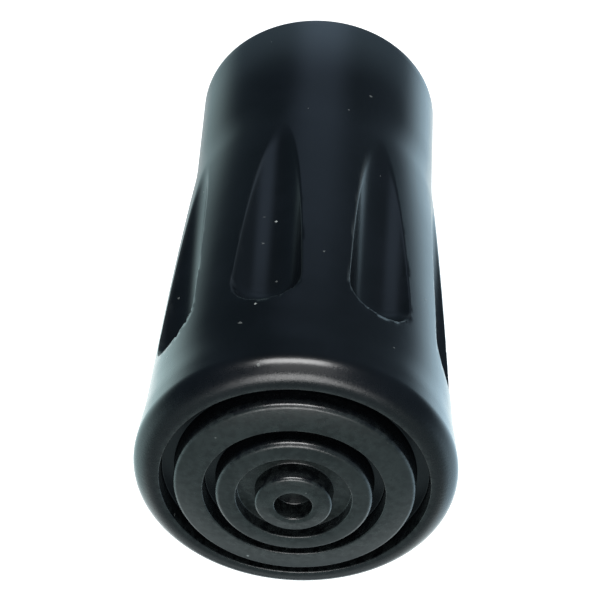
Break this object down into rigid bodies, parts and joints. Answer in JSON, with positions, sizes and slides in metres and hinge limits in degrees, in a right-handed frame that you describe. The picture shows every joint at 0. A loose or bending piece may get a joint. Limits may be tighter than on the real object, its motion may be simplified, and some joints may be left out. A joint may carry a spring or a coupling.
{
  "type": "trekking pole tip",
  "caption": "Moulded rubber pole tip with a blind round socket, a ring of teardrop flutes, a flared rounded foot and a domed tread of concentric rings.",
  "frame": {"origin": "centre of the mouth face, on which the tip stands", "axes": "+Z along the socket's axis from the mouth to the tread, -Y towards the side that the picture shows"},
  "size_m": [0.0262, 0.0262, 0.052],
  "materials": {
    "rubber": "satin"
  },
  "bodies": {
    "root": {"rubber_tip": "rubber"}
  },
  "joints": []
}
